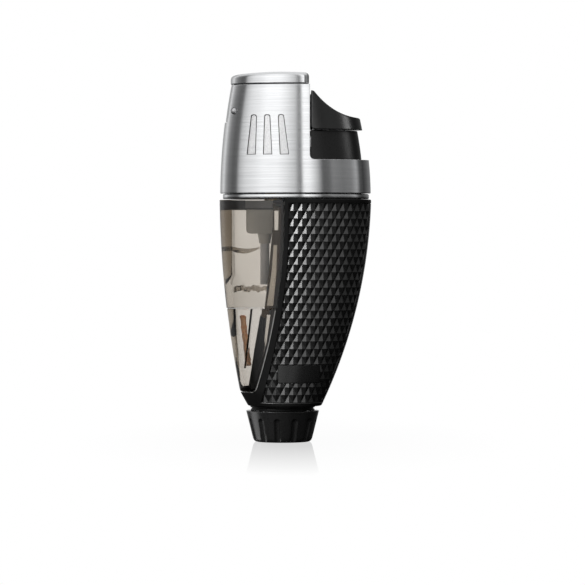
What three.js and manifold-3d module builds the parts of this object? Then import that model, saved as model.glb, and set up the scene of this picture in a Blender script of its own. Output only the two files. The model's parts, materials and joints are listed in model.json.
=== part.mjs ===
// Pocket jet lighter: butane tank, piezo igniter, thumb trigger and a flip lid that the trigger opens.
// Millimetres, +Z up, +X towards the thumb (rear) side, -X towards the lid hinge (front).
// The origin lies on the base plane, under the middle of the outline.

import * as THREE from 'three';
import { mergeVertices } from 'three/addons/utils/BufferGeometryUtils.js';
import Module from 'manifold-3d';

const wasm = await Module();
wasm.setup();

// ---------------------------------------------------------------- driving dimensions

const WHEEL_TOP = 8.4; // flame adjuster wheel, from the base plane up
const BODY_BOTTOM = 9.7; // tank and grip
const BODY_TOP = 65.3;
const WELD_LINE = 36; // where the two tank mouldings are welded
const HEAD_BOTTOM = 66.9; // metal head
const SHOULDER = 75.9; // ledge that the trigger sinks into
const HEAD_TOP = 96.1;
const LID_TOP = 99.8;

const GAP = 0.2; // between pieces that touch
const SHELL_WALL = 1.2;
const TANK_WALL = 2;
const HOUSING_WALL = 2;
const RUBBER = 0.9; // thickness of the grip's rubber skin

const WHEEL_X = -3.43; // axis of the adjuster wheel and the filling valve
const BURNER_X = -5.5; // axis of the burner and the jet valve
const PIEZO_X = 10.4; // axis of the igniter
const BARREL_REAR = 3.9; // rear face of the chimney, in front of the trigger
const TRIGGER_TRAVEL = 6;
const LID_SWING = 84; // degrees
const LID_PIN = { x: -16.4, z: 89, radius: 0.8 };
const CRANK = { radius: 3.6, angle: -85, pin: 0.55 }; // lid crank, at rest

const AROUND = 36; // facets round an oval
const ROUND = 16; // facets round a small cylinder

// Oval outline of the body at a height: front and rear ends on X, and half the width on Y.
function bodyOval(z) {
  const below = Math.max(69 - z, 0);
  return {
    front: -20.5 + arcDrop(285, below) + 0.35 * Math.max(14 - z, 0),
    rear: 20.55 - arcDrop(137, below),
    half: 11.6 - 1.75 * ((BODY_TOP - z) / (BODY_TOP - BODY_BOTTOM)) ** 2,
  };
}

// Oval outline of the metal head. It leans in towards the top.
function headOval(z) {
  const up = (z - 66) ** 2;
  return { front: -20.33 + up / 322, rear: 20.4 - up / 190, half: 11.3 - up / 900 };
}

function ringOval() {
  return { front: -19.6, rear: 19.9, half: 10.8 };
}

// How far an arc of this radius falls away from its tangent, at a distance along the tangent.
function arcDrop(radius, along) {
  return radius - Math.sqrt(radius ** 2 - along ** 2);
}

// ---------------------------------------------------------------- shape tools

function toSolid(geometry) {
  const bare = geometry.index ? geometry.toNonIndexed() : geometry.clone();
  for (const name of Object.keys(bare.attributes)) {
    if (name !== 'position') bare.deleteAttribute(name);
  }
  const merged = mergeVertices(bare, 1e-4);
  const corners = merged.index.array;
  const kept = [];
  for (let i = 0; i < corners.length; i += 3) {
    const [a, b, c] = corners.slice(i, i + 3);
    if (a !== b && b !== c && c !== a) kept.push(a, b, c);
  }
  return new wasm.Manifold(new wasm.Mesh({
    numProp: 3,
    vertProperties: merged.attributes.position.array,
    triVerts: new Uint32Array(kept),
  }));
}

function toGeometry(solid) {
  const made = solid.getMesh();
  const geometry = new THREE.BufferGeometry();
  geometry.setAttribute('position', new THREE.BufferAttribute(made.vertProperties, 3));
  geometry.setIndex(new THREE.BufferAttribute(made.triVerts, 1));
  geometry.computeVertexNormals();
  return geometry;
}

function join(first, ...others) {
  return others.reduce((sum, next) => sum.add(next), first);
}

function cut(first, ...others) {
  return others.reduce((rest, next) => rest.subtract(next), first);
}

function box(x0, x1, y0, y1, z0, z1) {
  const geometry = new THREE.BoxGeometry(x1 - x0, y1 - y0, z1 - z0);
  return toSolid(geometry.translate((x0 + x1) / 2, (y0 + y1) / 2, (z0 + z1) / 2));
}

// Solid of revolution about a vertical axis at (x, y). The profile is [radius, height] pairs, outside going up.
function turned(profile, x = 0, y = 0, facets = ROUND) {
  const points = profile.map(([r, z]) => new THREE.Vector2(r, z));
  return toSolid(new THREE.LatheGeometry(points, facets).rotateX(Math.PI / 2).translate(x, y, 0));
}

function disc(radius, z0, z1, x = 0, y = 0, facets = ROUND) {
  return turned([[0, z0], [radius, z0], [radius, z1], [0, z1]], x, y, facets);
}

function sleeve(outer, inner, z0, z1, x = 0, y = 0, facets = ROUND) {
  return turned([[inner, z0], [outer, z0], [outer, z1], [inner, z1], [inner, z0]], x, y, facets);
}

function ringSeal(radius, thickness, x, z) {
  const geometry = new THREE.TorusGeometry(radius, thickness, 6, ROUND);
  return toSolid(geometry.translate(x, 0, z));
}

// Round bar across the lighter, along Y, centred on (x, z).
function crossBar(radius, halfLength, x, z, facets = ROUND) {
  return toSolid(new THREE.CylinderGeometry(radius, radius, 2 * halfLength, facets).translate(x, 0, z));
}

// An outline in the X-Z plane, carried along Y from y0 to y1.
function plate(shape, y0, y1, curveSegments = 8) {
  const geometry = new THREE.ExtrudeGeometry(shape, { depth: y1 - y0, bevelEnabled: false, curveSegments });
  return toSolid(geometry.rotateX(Math.PI / 2).translate(0, y1, 0));
}

// Solid between two heights whose outline is an oval that changes with height, drawn in by an inset.
function loft(oval, z0, z1, inset = 0, steps = 5) {
  const profile = [new THREE.Vector2(0, z0)];
  for (let i = 0; i <= steps; i++) profile.push(new THREE.Vector2(1, z0 + ((z1 - z0) * i) / steps));
  profile.push(new THREE.Vector2(0, z1));
  const geometry = new THREE.LatheGeometry(profile, AROUND).rotateX(Math.PI / 2);
  const at = geometry.attributes.position;
  for (let i = 0; i < at.count; i++) {
    const { front, rear, half } = oval(at.getZ(i));
    const middle = (front + rear) / 2;
    at.setXY(i, middle + at.getX(i) * (rear - middle - inset), at.getY(i) * (half - inset));
  }
  return toSolid(geometry);
}

// Round wire or tube along a curve.
function tube(curve, radius, steps, sides = 8) {
  const section = new THREE.Shape();
  section.absarc(0, 0, radius, 0, 2 * Math.PI, false);
  const options = { steps, extrudePath: curve, bevelEnabled: false, curveSegments: sides / 2 };
  return toSolid(new THREE.ExtrudeGeometry(section, options));
}

class Helix extends THREE.Curve {
  constructor(radius, z0, z1, turns, x) {
    super();
    Object.assign(this, { radius, z0, z1, turns, x });
  }

  getPoint(t) {
    const angle = 2 * Math.PI * this.turns * t;
    const z = this.z0 + (this.z1 - this.z0) * t;
    return new THREE.Vector3(this.x + this.radius * Math.cos(angle), this.radius * Math.sin(angle), z);
  }
}

function coilSpring(radius, wire, z0, z1, turns, x) {
  return tube(new Helix(radius, z0 + wire, z1 - wire, turns, x), wire, turns * 7, 4);
}

// ---------------------------------------------------------------- outlines in the X-Z plane

const WINDOW = { low: 13.5, corner: 14.8, straight: 60, x: -3.3, bend: 292 }; // edge between tank and grip

// Front part of the body, where the tank shows. The edge is a parabola that runs into a straight line.
function windowShape(shift = 0, low = WINDOW.low) {
  const cornerX = WINDOW.x - (WINDOW.straight - WINDOW.corner) ** 2 / WINDOW.bend + shift;
  const shape = new THREE.Shape();
  shape.moveTo(-30, low);
  shape.lineTo(cornerX - 1.6, low);
  shape.quadraticCurveTo(cornerX - 0.4, low, cornerX, WINDOW.corner + 0.01);
  const control = (WINDOW.corner + WINDOW.straight) / 2;
  shape.quadraticCurveTo(WINDOW.x + shift, control, WINDOW.x + shift, WINDOW.straight);
  shape.lineTo(WINDOW.x + shift, 70);
  shape.lineTo(-30, 70);
  return shape;
}

const PANEL = { low: 10.9, high: 64.2, lowX: -9.2, x: -1.7, straight: 60 }; // rubber panel of the grip

function panelShape(grow = 0) {
  const shape = new THREE.Shape();
  shape.moveTo(PANEL.lowX - grow, PANEL.low - grow);
  shape.quadraticCurveTo(PANEL.x - grow, 36, PANEL.x - grow, PANEL.straight);
  shape.lineTo(PANEL.x - grow, PANEL.high + grow);
  shape.lineTo(30, PANEL.high + grow);
  shape.lineTo(30, PANEL.low - grow);
  return shape;
}

// Space above the shoulder, behind the chimney, with a rounded inner corner.
function notchShape() {
  const corner = 1.5;
  const shape = new THREE.Shape();
  shape.moveTo(BARREL_REAR, HEAD_TOP + 5);
  shape.lineTo(BARREL_REAR, SHOULDER + corner);
  shape.quadraticCurveTo(BARREL_REAR, SHOULDER, BARREL_REAR + corner, SHOULDER);
  shape.lineTo(30, SHOULDER);
  shape.lineTo(30, HEAD_TOP + 5);
  return shape;
}

// One of three tapered slots that fan out downwards on each side of the chimney.
function slotShape(topX, bottomX) {
  const top = 87.9;
  const bottom = 77.2;
  const shape = new THREE.Shape();
  shape.moveTo(bottomX - 1.15, bottom);
  shape.lineTo(bottomX + 1.15, bottom);
  shape.lineTo(topX + 0.75, top - 0.7);
  shape.quadraticCurveTo(topX + 0.7, top, topX, top);
  shape.quadraticCurveTo(topX - 0.7, top, topX - 0.75, top - 0.7);
  return shape;
}

// ---------------------------------------------------------------- body: housing, rubber, tank

function gripHousing() {
  const outside = join(
    loft(bodyOval, BODY_BOTTOM, BODY_TOP),
    disc(8.9, WHEEL_TOP + 0.1, BODY_BOTTOM + 1, WHEEL_X, 0, AROUND),
    disc(6.4, 3, BODY_BOTTOM + 1, WHEEL_X),
  );
  const skin = loft(bodyOval, PANEL.low - 1, PANEL.high + 1, -1).subtract(
    loft(bodyOval, PANEL.low - 2, PANEL.high + 2, RUBBER + 0.1),
  );
  return cut(
    outside,
    plate(windowShape(0.2, WINDOW.low - 0.2), -20, 20),
    skin.intersect(plate(panelShape(0.1), -20, 20)),
    loft(bodyOval, 13.4, BODY_TOP + 1, HOUSING_WALL),
    disc(4.4, 0, 20, WHEEL_X),
    disc(5.4, 0, WHEEL_TOP, WHEEL_X),
  );
}

function rubberGrip() {
  const skin = loft(bodyOval, PANEL.low - 1, PANEL.high + 1).subtract(
    loft(bodyOval, PANEL.low - 2, PANEL.high + 2, RUBBER),
  );
  return skin.intersect(plate(panelShape(), -20, 20));
}

// A tank moulding between two heights: full size where it shows, smaller inside the grip housing.
function tankBlock(z0, z1, inset) {
  const shown = loft(bodyOval, z0, z1, inset, 4).intersect(plate(windowShape(), -20, 20));
  const hidden = loft(bodyOval, z0, z1, HOUSING_WALL + 0.3, 4).intersect(box(-30, 6.5, -20, 20, 0, 70));
  return join(shown, hidden);
}

function tankHollow(z0, z1, gap = 0) {
  const window = plate(windowShape(-1.6 - gap, z0 - 1), -20, 20);
  const front = loft(bodyOval, z0, z1, TANK_WALL + gap, 4).intersect(window);
  const back = loft(bodyOval, z0, z1, HOUSING_WALL + TANK_WALL + gap, 4);
  return join(front, back.intersect(box(-30, 4.9 - gap, -20, 20, 0, 70)));
}

function fuelTank() {
  return cut(tankBlock(WELD_LINE + 0.1, BODY_TOP - 0.1, 0), tankHollow(WELD_LINE - 1, BODY_TOP + 1));
}

// Plug in the top of the tank. It carries the jet valve, and the chassis is screwed down to it.
function tankCap() {
  return cut(
    tankHollow(BODY_TOP - 2.5, BODY_TOP - 0.1, 0.1),
    disc(2.9, 60, 70, BURNER_X),
    disc(3.7, BODY_TOP - 1.2, 70, BURNER_X),
    ...SCREW_Y.map((y) => disc(0.98, 60, 70, SCREW_X, y, 12)),
  );
}

function tankBase() {
  return cut(
    tankBlock(WINDOW.low + 0.1, WELD_LINE - 0.1, 0.12),
    tankHollow(17, WELD_LINE + 1),
    disc(2.75, 10, 20, WHEEL_X),
    disc(3.6, 10, 14.8, WHEEL_X),
  );
}

// Cross wall that steadies the tank and keeps fuel from slopping up to the valve.
function tankBaffle() {
  const holes = [-12.5, -2.5, 2].map((x) => disc(1, 40, 43, x, 0, 12));
  return cut(tankHollow(40.9, 42.1, GAP), ...holes);
}

function wick() {
  return tube(new THREE.LineCurve3(new THREE.Vector3(-12.5, 0, 18), new THREE.Vector3(-14.1, 0, 34)), 0.9, 4, 12);
}

const DIP_X = -8.1; // axis of the dip tube
const FILTER = { front: -13.1, rear: -2.4, low: 56.1, high: 62.6, half: 3.2 };

// Filter housing that hangs under the jet valve, with a boss that holds the dip tube.
function valveFilter() {
  const { front, rear, low, high, half } = FILTER;
  const side = new THREE.Shape();
  side.moveTo(front + 1.4, low);
  side.lineTo(rear, low);
  side.lineTo(rear, high);
  side.lineTo(front, high);
  side.lineTo(front, low + 1.4);
  side.quadraticCurveTo(front, low, front + 1.4, low);
  const footprint = join(
    disc(half, low, high, front + half, 0, 24),
    box(front + half, rear - half, -half, half, low, high),
    disc(half, low, high, rear - half, 0, 24),
  );
  const boss = disc(1.9, low - 2.7, low + 0.5, DIP_X);
  return cut(
    join(footprint.intersect(plate(side, -half, half)), boss),
    disc(1.3, low - 3, low - 0.3, DIP_X),
    disc(2.1, 58.7, high + 1, BURNER_X),
    disc(2.9, 61.8, high + 1, BURNER_X),
  );
}

// ---------------------------------------------------------------- base: wheel and filling valve

// Cup-shaped wheel round the filling port, with flutes that follow its slope.
function adjusterWheel() {
  const profile = [
    [3.7, 0], [6.9, 0], [7.6, 0.35], [8.05, 1.2], [9.84, WHEEL_TOP], [7.9, WHEEL_TOP],
    [6.6, 1.8], [5.1, 1.8], [5.1, 5], [3.7, 5], [3.7, 0],
  ];
  const flutes = 12;
  const lean = Math.atan2(9.84 - 8.05, WHEEL_TOP - 1.2);
  let wheel = turned(profile, 0, 0, 36);
  for (let i = 0; i < flutes; i++) {
    const tool = new THREE.CapsuleGeometry(0.95, 9, 2, 8).rotateX(Math.PI / 2).translate(0, 0, 1);
    tool.rotateY(lean).translate(8.35, 0, 0).rotateZ((2 * Math.PI * i) / flutes - 0.159);
    wheel = wheel.subtract(toSolid(tool));
  }
  return wheel;
}

function adjusterSpindle() {
  return turned([[2.9, 5.2], [5, 5.2], [5, 6], [4.2, 6], [4.2, 12], [2.9, 12], [2.9, 5.2]]);
}

function fillValveBody() {
  return turned([
    [1.2, 5.2], [2.5, 5.2], [2.5, 12.2], [4.1, 12.2], [4.1, 13.3], [2.5, 13.3], [2.5, 18.2],
    [0.9, 18.2], [0.9, 17.2], [1.9, 17.2], [1.9, 9.2], [1.2, 9.2], [1.2, 5.2],
  ]);
}

function fillValveStem() {
  return turned([
    [0, 4.7], [0.85, 4.7], [0.85, 9.4], [1.6, 9.4], [1.6, 10.2], [0.8, 10.2], [0.8, 12.5], [0, 12.5],
  ]);
}

// ---------------------------------------------------------------- head: shell, ring, chassis

const SCREW_X = 2;
const SCREW_Y = [-6.25, 6.25];

const LID_SLOT = { half: 3.2, low: 86 }; // opening in the front of the shell that the lid's tongue fills
const RIB = { near: 2.6, far: 4.4, depth: 0.45 }; // guide ribs of the trigger, and how far they enter the shell

function headShell() {
  const inside = loft(headOval, HEAD_BOTTOM - 1, HEAD_TOP + 1, SHELL_WALL, 6);
  const chimney = box(-30, BARREL_REAR - 1.1, -20, 20, 60, 110);
  const lower = box(-30, 30, -20, 20, 60, SHOULDER - SHELL_WALL);
  const behind = box(BARREL_REAR, 30, -20, 20, 60, 110);
  const triggerHole = loft(headOval, SHOULDER - 4, SHOULDER + 1, 1.7, 2).intersect(behind);
  const recess = loft(headOval, 76, 90, -1, 3).subtract(loft(headOval, 75, 91, 0.5, 4));
  const slots = [[-11.1, -11.8], [-7.5, -7.4], [-3.8, -2.9]].map(([top, bottom]) =>
    recess.intersect(plate(slotShape(top, bottom), -20, 20, 3)),
  );
  return cut(
    loft(headOval, HEAD_BOTTOM, HEAD_TOP, 0, 6),
    plate(notchShape(), -20, 20, 5),
    inside.intersect(join(chimney, lower)),
    triggerHole,
    box(-25, -15.4, -LID_SLOT.half, LID_SLOT.half, LID_SLOT.low, 100),
    box(-17.5, -15, -LID_SLOT.half, LID_SLOT.half, LID_SLOT.low - 2, 90),
    box(0, 6, -7.4, -5.9, 74, 82.7),
    box(0, 6, 5.9, 7.4, 74, 82.7),
    crossBar(LID_PIN.radius + 0.05, 12, LID_PIN.x, LID_PIN.z),
    ...guides(BARREL_REAR - RIB.depth - 0.15, BARREL_REAR + 1, 70, 94.6, 0.2),
    ...slots,
  );
}

// A pair of upright bars, one on each side, at the trigger's guide ribs.
function guides(x0, x1, z0, z1, grow = 0) {
  const near = RIB.near - grow;
  const far = RIB.far + grow;
  return [box(x0, x1, near, far, z0, z1), box(x0, x1, -far, -near, z0, z1)];
}

function trimRing() {
  return loft(ringOval, BODY_TOP + 0.1, HEAD_BOTTOM - 0.15, 0, 1).subtract(loft(ringOval, 60, 70, 2.2, 1));
}

const LEVER_PIN = { x: 1.2, z: 70.7, radius: 0.75 };

// Moulded frame on top of the tank: a floor, two posts for the gas lever, and a bridge that holds the burner.
function chassis() {
  const floor = loft(headOval, HEAD_BOTTOM + 0.1, 69, SHELL_WALL + 0.4, 1);
  const posts = [-1, 1].map((side) =>
    box(-0.4, 2.8, Math.min(side * 3.4, side * 4.8), Math.max(side * 3.4, side * 4.8), 68.5, 77),
  );
  const bridge = box(-9.4, 2.8, -4.8, 4.8, 76.5, 79);
  return cut(
    join(floor, ...posts, bridge),
    disc(3.9, 60, 70, BURNER_X),
    disc(3.15, 75, 80, BURNER_X),
    box(PIEZO_X - 2.95, PIEZO_X + 2.95, -4.3, 4.3, 60, 70),
    crossBar(LEVER_PIN.radius + 0.06, 12, LEVER_PIN.x, LEVER_PIN.z),
    ...SCREW_Y.map((y) => disc(1.15, 60, 70, SCREW_X, y, 12)),
  );
}

function chassisScrew() {
  return turned([[0, 63.3], [0.9, 63.3], [0.9, 69.1], [1.4, 69.1], [1.4, 69.7], [1, 70.2], [0, 70.2]], 0, 0, 16);
}

// ---------------------------------------------------------------- burner and gas path

function burnerBase() {
  return turned([
    [0.4, 74.7], [0.8, 74.7], [0.8, 76.3], [3.9, 76.3 - 0.05], [3.9, 76.4], [3, 76.4],
    [3, 83], [1.2, 83], [0.4, 80], [0.4, 74.7],
  ]);
}

// Mixing tube with four air holes near its foot.
function burnerTube() {
  const pipe = turned([
    [2, 83.1], [2.6, 83.1], [2.6, 88], [3.2, 89], [3.2, 91.6], [2.8, 91.6], [2.8, 89.2], [2, 88.2], [2, 83.1],
  ]);
  const hole = new THREE.CylinderGeometry(0.6, 0.6, 8, 10);
  const along = toSolid(hole.clone().translate(0, 0, 84.8));
  const across = toSolid(hole.clone().rotateZ(Math.PI / 2).translate(0, 0, 84.8));
  return cut(pipe, along, across);
}

// Plate with three jets, one for each flame.
function jetPlate() {
  const jets = [0, 1, 2].map((i) => {
    const angle = (2 * Math.PI * i) / 3;
    return disc(0.55, 89, 93, 1.35 * Math.cos(angle), 1.35 * Math.sin(angle), 12);
  });
  return cut(disc(2.7, 90.2, 91.2), ...jets);
}

function flameGuard() {
  return sleeve(5.2, 4.75, 83.4, 95.4);
}

const ELECTRODE_Y = 3.9;

function electrodeInsulator() {
  return disc(0.75, 79.1, 88, 0, ELECTRODE_Y, 12);
}

// Wire out of the ceramic that bends over towards the jets.
function electrode() {
  const route = [
    new THREE.Vector3(0, ELECTRODE_Y, 88.1),
    new THREE.Vector3(0, ELECTRODE_Y, 91),
    new THREE.Vector3(0, ELECTRODE_Y - 0.3, 92.5),
    new THREE.Vector3(0, 1.9, 93.2),
  ];
  return tube(new THREE.CatmullRomCurve3(route), 0.3, 10, 8);
}

// Insulated wire from the igniter's contact to the foot of the electrode.
function ignitionLead() {
  const route = [
    new THREE.Vector3(6.9, 4.1, 72.4),
    new THREE.Vector3(5, 5.2, 72.5),
    new THREE.Vector3(1.2, 5.45, 72.6),
    new THREE.Vector3(-3, 5.4, 73.4),
    new THREE.Vector3(-5.4, 5.4, 76),
    new THREE.Vector3(-5.9, 5.4, 79),
    new THREE.Vector3(-5.6, 5.15, 80.6),
  ];
  return tube(new THREE.CatmullRomCurve3(route), 0.4, 22, 8);
}

function valveBody() {
  const profile = [
    [1.25, 62], [2.7, 62], [2.7, 65.4], [3.5, 65.4], [3.5, 66.6], [2.7, 66.6], [2.7, 70],
    [1.25, 70], [1.25, 69], [2, 69], [2, 63.5], [1.25, 63.5], [1.25, 62],
  ];
  return join(turned(profile), sleeve(1.9, 0.95, 58.9, 62.2));
}

function valveStem() {
  return turned([
    [0, 64.2], [1.8, 64.2], [1.8, 64.9], [1.1, 64.9], [1.1, 71.35], [2.2, 71.35], [2.2, 71.9],
    [0.8, 71.9], [0.8, 73.9], [0, 73.9],
  ]);
}

// Rocking lever: the trigger presses its rear end down, and its fork lifts the valve stem.
function gasLever() {
  const { x, z, radius } = LEVER_PIN;
  const arm = box(-7.3, 6.9, -2.4, 2.4, 70.3, 71.1);
  const hub = crossBar(1.5, 2.4, x, z);
  return cut(
    join(arm, hub),
    crossBar(radius + 0.08, 5, x, z),
    box(-10, BURNER_X, -1.35, 1.35, 69, 73),
    disc(1.35, 69, 73, BURNER_X),
  );
}

// ---------------------------------------------------------------- igniter

function piezoCase() {
  const x = PIEZO_X;
  return box(x - 2.7, x + 2.7, -4.1, 4.1, 56, 76).subtract(box(x - 2.15, x + 2.15, -3.55, 3.55, 58, 77));
}

function piezoPlunger() {
  return box(PIEZO_X - 2, PIEZO_X + 2, -3.4, 3.4, 70, 82.25);
}

function piezoContact() {
  return box(PIEZO_X - 3.3, PIEZO_X - 2.8, 1.6, 4, 70.6, 74);
}

// ---------------------------------------------------------------- trigger and lid

// Thumb piece with a hollowed slope. Its side follows the head's oval.
function thumbTrigger() {
  const low = 83.95;
  const left = 4.2;
  const shape = new THREE.Shape();
  shape.moveTo(left + 1.2, low);
  shape.lineTo(19, low);
  shape.lineTo(19, 86.2);
  shape.quadraticCurveTo(17.4, 87.1, 16.6, 87.25);
  shape.bezierCurveTo(12.2, 87.6, 8.2, 90.2, 5, 94.2);
  shape.lineTo(left, 94.5);
  shape.lineTo(left, low + 1.2);
  shape.quadraticCurveTo(left, low, left + 1.2, low);
  const thumb = loft(headOval, low - 1, 95, 0.6, 4).intersect(plate(shape, -20, 20));
  return join(thumb, ...guides(BARREL_REAR - RIB.depth, left + 1.5, low + 0.2, 93.5));
}

// Open-fronted skirt under the thumb piece. It slides down through the shoulder.
function triggerSkirt() {
  const low = 75.3;
  const high = 83.75;
  const left = 4.2;
  const outside = loft(headOval, low, high, 2, 3).intersect(box(left, 30, -20, 20, 60, 110));
  const walls = outside.subtract(loft(headOval, low - 1, high - 1.2, 3.2, 3));
  return join(walls, ...guides(BARREL_REAR - RIB.depth, left + 0.8, low + 0.3, high));
}

// Centre of the lid's crank pin, seen from the sliding yoke, when the trigger has gone this share of its way.
function crankInYoke(share) {
  const angle = THREE.MathUtils.degToRad(CRANK.angle + LID_SWING * share);
  return new THREE.Vector2(
    LID_PIN.x + CRANK.radius * Math.cos(angle),
    LID_PIN.z + CRANK.radius * Math.sin(angle) + TRIGGER_TRAVEL * share,
  );
}

// Band of constant half width along the crank pin's path, with a margin past both ends.
function crankPath(halfWidth) {
  const shares = [0, 0.125, 0.25, 0.375, 0.5, 0.625, 0.75, 0.875, 1];
  let band = crossBar(halfWidth, 3, crankInYoke(0).x, crankInYoke(0).y, 16);
  shares.slice(1).forEach((share, i) => {
    const from = crankInYoke(shares[i]);
    const to = crankInYoke(share);
    const side = to.clone().sub(from).normalize().multiplyScalar(halfWidth);
    const shape = new THREE.Shape([
      new THREE.Vector2(from.x + side.y, from.y - side.x),
      new THREE.Vector2(to.x + side.y, to.y - side.x),
      new THREE.Vector2(to.x - side.y, to.y + side.x),
      new THREE.Vector2(from.x - side.y, from.y + side.x),
    ]);
    band = join(band, plate(shape, -3, 3), crossBar(halfWidth, 3, to.x, to.y, 16));
  });
  return band;
}

const YOKE = { low: 79.3, high: 82.2, inner: 6.2, outer: 6.9, front: -11.9, rear: 6.8, sheet: 0.8, foot: 76.95 };

// Stamped yoke under the trigger. Two arms pass the burner and carry a cam plate whose slot turns the lid.
function camYoke() {
  const { low, high, inner, outer, front, rear, sheet, foot } = YOKE;
  const cam = crankPath(1.2).intersect(box(-20, 0, -0.5, 0.5, 80, 96.3));
  const stem = box(-13.4, front + sheet, -0.5, 0.5, low, 94);
  return cut(
    join(
      box(front, rear, inner, outer, low, high),
      box(front, rear, -outer, -inner, low, high),
      box(front, front + sheet, -outer, outer, low, high),
      box(rear - sheet, rear, -outer, outer, low, high),
      box(rear - sheet, rear, -2.2, 2.2, foot, high),
      cam,
      stem,
    ),
    crankPath(CRANK.pin + 0.12),
  );
}

// Cap with a tongue down the front of the head. Two ears on the tongue hold the hinge pin and the crank pin.
function lidCap() {
  const rear = BARREL_REAR - 0.2;
  const low = HEAD_TOP + GAP;
  const top = new THREE.Shape();
  top.moveTo(-20, low);
  top.lineTo(rear, low);
  top.lineTo(rear, LID_TOP - 2);
  top.quadraticCurveTo(rear - 0.1, LID_TOP - 0.35, rear - 1.5, LID_TOP - 0.25);
  top.quadraticCurveTo(-5.5, LID_TOP + 0.35, -14.5, LID_TOP - 0.55);
  top.quadraticCurveTo(-16.6, LID_TOP - 0.9, -17, LID_TOP - 1.6);
  top.lineTo(-20, LID_TOP - 2.2);
  const cap = loft(headOval, low, LID_TOP + 0.5, 0, 2).intersect(plate(top, -20, 20));
  const hollow = loft(headOval, low - 1, LID_TOP - 1.2, 1.2, 1).intersect(box(-15.4, rear - 1, -20, 20, 90, 100));

  const tongueSkin = loft(headOval, 85, LID_TOP - 2, 0.2, 4).subtract(loft(headOval, 84, LID_TOP, 1.3, 4));
  const tongue = tongueSkin.intersect(box(-25, -15.4, -3, 3, 87, low + 0.5));

  const crank = crankInYoke(0);
  const ear = new THREE.Shape();
  ear.moveTo(-17.6, low + 0.3);
  ear.lineTo(-18.1, 87.2);
  ear.lineTo(crank.x - 0.9, crank.y);
  ear.quadraticCurveTo(crank.x - 0.8, crank.y - 1, crank.x, crank.y - 0.95);
  ear.quadraticCurveTo(crank.x + 0.9, crank.y - 0.9, crank.x + 0.95, crank.y);
  ear.lineTo(LID_PIN.x + 1.5, LID_PIN.z);
  ear.lineTo(LID_PIN.x + 1, LID_PIN.z + 1.6);
  ear.lineTo(-15.6, low + 0.3);
  const nose = loft(headOval, 80, LID_TOP, 0.2, 5);
  const ears = join(plate(ear, 2.2, 3, 4), plate(ear, -3, -2.2, 4)).intersect(nose);
  return cut(
    join(cap.subtract(hollow), tongue, ears),
    box(-25, -15, -0.85, 0.85, 80, 89.3),
    crossBar(LID_PIN.radius + 0.07, 8, LID_PIN.x, LID_PIN.z),
    crossBar(CRANK.pin + 0.05, 8, crank.x, crank.y, 16),
  );
}

// ---------------------------------------------------------------- materials

function finish(color, roughness, metalness = 0, extra = {}) {
  return new THREE.MeshStandardMaterial({ color, roughness, metalness, ...extra });
}

const brushedMetal = finish(0xc9ccce, 0.3, 1);
const steel = finish(0xb4b7ba, 0.35, 1);
const brass = finish(0xb08d57, 0.35, 1);
const blackPlastic = finish(0x17181a, 0.45);
const blackRubber = finish(0x121214, 0.6);
const innerPlastic = finish(0x2a2b2d, 0.5);
const greyPlastic = finish(0x8a8782, 0.45);
const smokedPlastic = finish(0xb7a898, 0.08, 0, { transparent: true, opacity: 0.35 });
const copperWick = finish(0xb5632c, 0.8);
const ceramic = finish(0xe9e5dc, 0.4);
const silicone = finish(0xc8c4ba, 0.5);
const sealRubber = finish(0x1a1a1a, 0.7);
const redWire = finish(0x8c1f1c, 0.45);

// ---------------------------------------------------------------- assembly

const lighter = new THREE.Group();

function add(name, solid, material, x = 0, y = 0, parent = lighter) {
  const mesh = new THREE.Mesh(toGeometry(solid), material);
  mesh.name = name;
  mesh.position.set(x, y, 0);
  parent.add(mesh);
}

const body = new THREE.Group();
const base = new THREE.Group();
const burner = new THREE.Group();
base.position.x = WHEEL_X;
burner.position.x = BURNER_X;
lighter.add(body, base, burner);

add('grip_housing', gripHousing(), blackPlastic, 0, 0, body);
add('rubber_grip', rubberGrip(), blackRubber, 0, 0, body);
add('fuel_tank', fuelTank(), smokedPlastic, 0, 0, body);
add('tank_base', tankBase(), smokedPlastic, 0, 0, body);
add('tank_cap', tankCap(), innerPlastic, 0, 0, body);
add('wick', wick(), copperWick, 0, 0, body);
add('dip_tube', sleeve(1.2, 0.7, 42.4, 55.6), silicone, DIP_X, 0, body);
add('valve_filter', valveFilter(), greyPlastic, 0, 0, body);
add('tank_baffle', tankBaffle(), smokedPlastic, 0, 0, body);

add('adjuster_wheel', adjusterWheel(), blackPlastic, 0, 0, base);
add('adjuster_spindle', adjusterSpindle(), brass, 0, 0, base);
add('fill_valve_body', fillValveBody(), brass, 0, 0, base);
add('fill_valve_stem', fillValveStem(), brass, 0, 0, base);
add('fill_valve_spring', coilSpring(1.35, 0.18, 10.3, 17.1, 6, 0), steel, 0, 0, base);
add('fill_valve_o_ring', ringSeal(3.05, 0.4, 0, 14.3), sealRubber, 0, 0, base);

add('trim_ring', trimRing(), brushedMetal);
add('head_shell', headShell(), brushedMetal);
add('chassis', chassis(), innerPlastic);
SCREW_Y.forEach((y, i) => add(`chassis_screw_${i + 1}`, chassisScrew(), steel, SCREW_X, y));
add('lid_pin', crossBar(LID_PIN.radius, 5.7, LID_PIN.x, LID_PIN.z), steel);
add('gas_lever_pin', crossBar(LEVER_PIN.radius, 4.8, LEVER_PIN.x, LEVER_PIN.z), steel);

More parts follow.
